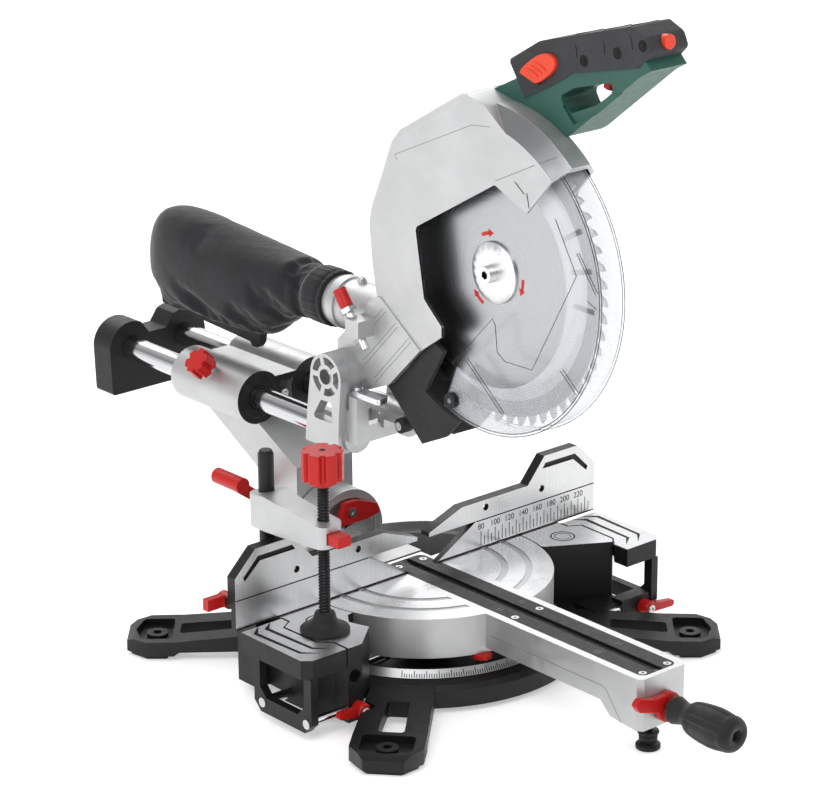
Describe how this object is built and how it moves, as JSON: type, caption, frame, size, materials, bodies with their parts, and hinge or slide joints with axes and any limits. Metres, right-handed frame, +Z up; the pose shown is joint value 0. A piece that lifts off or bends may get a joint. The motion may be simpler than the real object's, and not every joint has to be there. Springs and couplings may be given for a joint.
{
  "type": "sliding miter saw",
  "caption": "Sliding compound miter saw on a splayed base: turntable with front arm, slide rails, tilting column, belt-driven head with clear guard, dust bag, fences and hold-down clamp.",
  "frame": {"origin": "on the ground under the turntable's axis, midway between the four bench bolt holes", "axes": "+Z up, +Y to the rear along the slide rails, +X to the operator's right; the fence face is Y = 0 and the blade cuts in X = 0"},
  "size_m": [0.5141, 0.919, 0.6967],
  "materials": {
    "cast_aluminium": "fine sand-cast, painted silver",
    "machined_aluminium": "machined flat faces",
    "black_paint": "satin powder coat",
    "black_plastic": "fine moulded grain",
    "red_plastic": "semi-gloss moulded",
    "green_plastic": "fine moulded grain",
    "chrome": "ground and plated",
    "steel": "ground",
    "blade_steel": "circular ground",
    "copper_steel": "laminated core with windings",
    "rubber": "matt",
    "bag_fabric": "woven nylon",
    "clear_plastic": "clear polycarbonate"
  },
  "bodies": {
    "base": {"base_casting": "black_paint", "rubber_feet": "rubber", "miter_scale": "machined_aluminium", "lower_fences": "machined_aluminium", "fence_screws": "steel"},
    "left_extension": {"left_extension": "black_paint"},
    "right_extension": {"right_extension": "black_paint"},
    "left_upper_fence": {"left_upper_fence": "machined_aluminium"},
    "right_upper_fence": {"right_upper_fence": "machined_aluminium"},
    "left_fence_lever": {"left_fence_lever": "red_plastic"},
    "left_table_lever": {"left_table_lever": "red_plastic"},
    "right_table_lever": {"right_table_lever": "red_plastic"},
    "turntable": {"turntable": "cast_aluminium", "kerf_insert": "black_plastic", "turntable_fasteners": "steel", "miter_pointer": "red_plastic", "bevel_drum": "cast_aluminium"},
    "miter_handle": {"miter_handle": "black_plastic"},
    "index_lever": {"index_lever": "red_plastic"},
    "support_foot": {"support_foot": "steel"},
    "bevel_latch": {"bevel_latch": "red_plastic"},
    "column": {"tilt_column": "cast_aluminium", "slide_bushes": "black_plastic"},
    "slide_lock_knob": {"slide_lock_knob": "red_plastic"},
    "bevel_lever": {"bevel_lever": "red_plastic"},
    "carriage": {"slide_rails": "chrome", "rear_rail_cap": "black_plastic", "front_bracket": "cast_aluminium", "bracket_fasteners": "steel"},
    "guard_roller": {"guard_roller": "steel"},
    "stop_plate": {"stop_plate": "steel"},
    "head": {"swing_arm": "cast_aluminium", "upper_guard": "cast_aluminium", "return_spring": "steel", "gear_housing": "cast_aluminium", "belt_cover": "black_plastic", "ball_bearings": "steel", "motor_housing": "black_plastic", "stator": "copper_steel", "drive_belt": "rubber", "dust_deflector": "rubber", "dust_elbow": "cast_aluminium", "dust_bag": "bag_fabric", "d_handle": "green_plastic", "grip_cover": "rubber"},
    "depth_stop_screw": {"depth_stop_screw": "red_plastic"},
    "blade": {"saw_blade": "blade_steel", "blade_spindle": "steel", "outer_flange": "steel"},
    "armature": {"armature": "copper_steel"},
    "lower_guard": {"lower_guard": "clear_plastic"},
    "lift_roller": {"lift_roller": "black_plastic"},
    "lock_off_button": {"lock_off_button": "red_plastic"},
    "front_button": {"front_button": "black_plastic"},
    "switch_trigger": {"switch_trigger": "red_plastic"},
    "clamp_post": {"clamp_post": "black_paint", "clamp_arm": "cast_aluminium"},
    "clamp_spindle": {"clamp_spindle": "black_paint"},
    "clamp_knob": {"clamp_knob": "red_plastic"},
    "clamp_release_tab": {"clamp_release_tab": "red_plastic"}
  },
  "joints": [
    {"name": "left_extension_slide", "type": "slide", "parent": "base", "child": "left_extension", "axis": [-1, 0, 0], "range_m": [0, 0.09]},
    {"name": "right_extension_slide", "type": "slide", "parent": "base", "child": "right_extension", "axis": [1, 0, 0], "range_m": [0, 0.09]},
    {"name": "left_fence_slide", "type": "slide", "parent": "base", "child": "left_upper_fence", "axis": [-1, 0, 0], "range_m": [0, 0.09]},
    {"name": "right_fence_slide", "type": "slide", "parent": "base", "child": "right_upper_fence", "axis": [1, 0, 0], "range_m": [0, 0.09]},
    {"name": "fence_lever_turn", "type": "hinge", "parent": "base", "child": "left_fence_lever", "pos_m": [-0.236, 0.024, 0.112], "axis": [0, 1, 0], "range_deg": [0, 80]},
    {"name": "left_table_lever_turn", "type": "hinge", "parent": "base", "child": "left_table_lever", "pos_m": [-0.178, -0.105, 0.022], "axis": [0, 1, 0], "range_deg": [0, 90]},
    {"name": "right_table_lever_turn", "type": "hinge", "parent": "base", "child": "right_table_lever", "pos_m": [0.216, -0.104, 0.0175], "axis": [0, -1, 0], "range_deg": [0, 90]},
    {"name": "miter", "type": "hinge", "parent": "base", "child": "turntable", "pos_m": [0, 0, 0.088], "axis": [0, 0, 1], "range_deg": [-47, 47]},
    {"name": "miter_handle_turn", "type": "hinge", "parent": "turntable", "child": "miter_handle", "pos_m": [0, -0.36, 0.054], "axis": [0, -1, 0], "continuous": true},
    {"name": "index_lever_turn", "type": "hinge", "parent": "turntable", "child": "index_lever", "pos_m": [0, -0.35, 0.054], "axis": [0, 1, 0], "range_deg": [0, 20], "stiffness_Nm_per_rad": 0.2},
    {"name": "support_foot_screw", "type": "slide", "parent": "turntable", "child": "support_foot", "axis": [0, 0, 1], "range_m": [0, 0.006]},
    {"name": "bevel_latch_turn", "type": "hinge", "parent": "turntable", "child": "bevel_latch", "pos_m": [0, 0.117, 0.116], "axis": [0, 1, 0], "range_deg": [-12, 12], "stiffness_Nm_per_rad": 0.2},
    {"name": "bevel", "type": "hinge", "parent": "turntable", "child": "column", "pos_m": [0, 0.16, 0.088], "axis": [0, 1, 0], "range_deg": [-30, 2]},
    {"name": "bevel_lever_turn", "type": "hinge", "parent": "column", "child": "bevel_lever", "pos_m": [0, 0.21, 0.088], "axis": [0, 1, 0], "range_deg": [-45, 0]},
    {"name": "slide_lock_turn", "type": "hinge", "parent": "column", "child": "slide_lock_knob", "pos_m": [-0.036, 0.278, 0.224], "axis": [-0.7302, 0, 0.6832], "continuous": true},
    {"name": "carriage_slide", "type": "slide", "parent": "column", "child": "carriage", "axis": [0, -1, 0], "range_m": [-0.098, 0.105]},
    {"name": "guard_roller_turn", "type": "hinge", "parent": "carriage", "child": "guard_roller", "pos_m": [-0.01, 0.0175, 0.2415], "axis": [1, 0, 0], "continuous": true},
    {"name": "stop_plate_swing", "type": "hinge", "parent": "carriage", "child": "stop_plate", "pos_m": [-0.042, 0.05, 0.275], "axis": [0, 0, -1], "range_deg": [0, 90]},
    {"name": "chop", "type": "hinge", "parent": "carriage", "child": "head", "pos_m": [0, 0.0803, 0.2882], "axis": [1, 0, 0], "range_deg": [0, 49.3], "stiffness_Nm_per_rad": 20, "springref_deg": -63.03},
    {"name": "depth_stop_travel", "type": "slide", "parent": "head", "child": "depth_stop_screw", "axis": [0, 0.6113, 0.7914], "range_m": [0, 0.008]},
    {"name": "blade_spin", "type": "hinge", "parent": "head", "child": "blade", "pos_m": [0, -0.1091, 0.4294], "axis": [1, 0, 0], "continuous": true},
    {"name": "armature_spin", "type": "hinge", "parent": "head", "child": "armature", "pos_m": [0, -0.025, 0.488], "axis": [1, 0, 0], "continuous": true},
    {"name": "lower_guard_swing", "type": "hinge", "parent": "head", "child": "lower_guard", "pos_m": [0, -0.1091, 0.4294], "axis": [1, 0, 0], "range_deg": [-115, 0]},
    {"name": "lift_roller_turn", "type": "hinge", "parent": "lower_guard", "child": "lift_roller", "pos_m": [0, -0.06411, 0.29093], "axis": [1, 0, 0], "continuous": true},
    {"name": "lock_off_press", "type": "slide", "parent": "head", "child": "lock_off_button", "axis": [1, 0, 0], "range_m": [0, 0.003], "stiffness_N_per_m": 300},
    {"name": "front_button_press", "type": "slide", "parent": "head", "child": "front_button", "axis": [0, 0.995, -0.0995], "range_m": [0, 0.004], "stiffness_N_per_m": 300},
    {"name": "trigger_press", "type": "slide", "parent": "head", "child": "switch_trigger", "axis": [0, -0.2873, 0.9578], "range_m": [0, 0.005], "stiffness_N_per_m": 300},
    {"name": "clamp_swivel", "type": "hinge", "parent": "base", "child": "clamp_post", "pos_m": [-0.18, 0.028, 0.15], "axis": [0, 0, 1], "range_deg": [-45, 20]},
    {"name": "clamp_travel", "type": "slide", "parent": "clamp_post", "child": "clamp_spindle", "axis": [0, 0, 1], "range_m": [0, 0.06]},
    {"name": "clamp_knob_turn", "type": "hinge", "parent": "clamp_spindle", "child": "clamp_knob", "pos_m": [-0.177, -0.056, 0.248], "axis": [0, 0, 1], "continuous": true},
    {"name": "clamp_tab_press", "type": "slide", "parent": "clamp_post", "child": "clamp_release_tab", "axis": [0, 1, 0], "range_m": [0, 0.003], "stiffness_N_per_m": 300}
  ],
  "couplings": [
    {"joint": "lower_guard_swing", "follows": "chop", "ratio": -2.3},
    {"joint": "armature_spin", "follows": "blade_spin", "ratio": 1.6}
  ]
}
